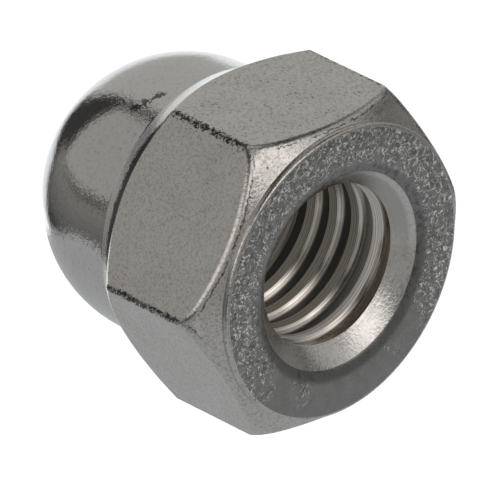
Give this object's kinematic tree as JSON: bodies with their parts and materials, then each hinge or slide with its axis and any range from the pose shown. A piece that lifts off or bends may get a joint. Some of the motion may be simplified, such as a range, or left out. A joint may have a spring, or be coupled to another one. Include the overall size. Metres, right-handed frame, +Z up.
{
  "type": "cap nut",
  "caption": "Domed stainless steel cap nut with a hexagon, washer face and blind threaded hole.",
  "frame": {"origin": "centre of the bearing face, on the nut's axis; the nut lies on one flat, 6.5 mm below the origin", "axes": "+Y along the nut's axis from the bearing face to the dome, so a screw leaves towards -Y; +Z up, square to the flat that the nut lies on"},
  "size_m": [0.015, 0.0148, 0.013],
  "materials": {
    "steel": "bright stainless steel: polished dome, rolled flats, pressed matt bearing face"
  },
  "bodies": {
    "root": {"cap_nut": "steel"}
  },
  "joints": []
}
